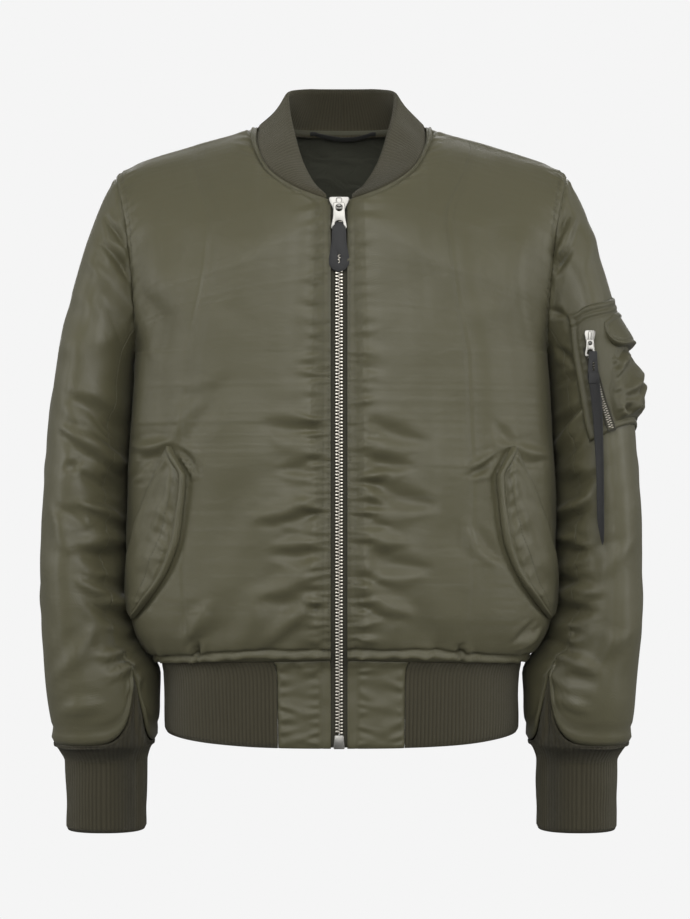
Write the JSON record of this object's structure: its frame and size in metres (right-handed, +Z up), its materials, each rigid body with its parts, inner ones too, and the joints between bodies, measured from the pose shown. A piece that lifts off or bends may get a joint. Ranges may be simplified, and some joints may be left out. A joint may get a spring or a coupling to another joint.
{
  "type": "bomber jacket",
  "caption": "Padded nylon bomber jacket filled out as worn, with ribbed collar, cuffs and hem, front zip, slanted pocket flaps and a zipped arm pocket.",
  "frame": {"origin": "base of the neck, midway between the shoulder neck points, where the jacket hangs on its wearer", "axes": "+Z up, +X to the wearer's left, -Y to the front"},
  "size_m": [0.6228, 0.2794, 0.7743],
  "materials": {
    "nylon": "satin",
    "rib_knit": "matte",
    "zip_tape": "matte",
    "nickel": "polished",
    "leather": "satin"
  },
  "bodies": {
    "jacket": {"front_left": "nylon", "front_right": "nylon", "back": "nylon", "sleeve_left_upper": "nylon", "sleeve_left_under": "nylon", "sleeve_right_upper": "nylon", "sleeve_right_under": "nylon", "hem_tab_left": "nylon", "hem_tab_right": "nylon", "pocket_flap_left": "nylon", "pocket_flap_right": "nylon", "arm_pocket": "nylon", "pen_pocket": "nylon", "pen_flap": "nylon", "cuff_left": "rib_knit", "cuff_right": "rib_knit", "hem_rib": "rib_knit", "collar": "rib_knit", "zip_tape_left": "zip_tape", "zip_tape_right": "zip_tape", "neck_tape": "zip_tape", "zip_teeth_left": "nickel", "zip_teeth_right": "nickel", "zip_slider": "nickel", "zip_box": "nickel", "arm_zip": "nickel", "arm_zip_slider": "nickel", "hanger_loop": "leather"},
    "main_pull": {"zip_pull": "nickel", "zip_puller": "leather"},
    "arm_pull": {"arm_zip_pull": "nickel", "arm_zip_tab": "leather", "arm_zip_ribbon": "leather"}
  },
  "joints": [
    {"name": "main_pull_hinge", "type": "hinge", "parent": "jacket", "child": "main_pull", "pos_m": [-0.0022, -0.1335, -0.0905], "axis": [-1, 0, 0], "range_deg": [0, 150]},
    {"name": "arm_pull_hinge", "type": "hinge", "parent": "jacket", "child": "arm_pull", "pos_m": [0.249, -0.0891, -0.224], "axis": [-1, 0, 0], "range_deg": [0, 90]}
  ]
}
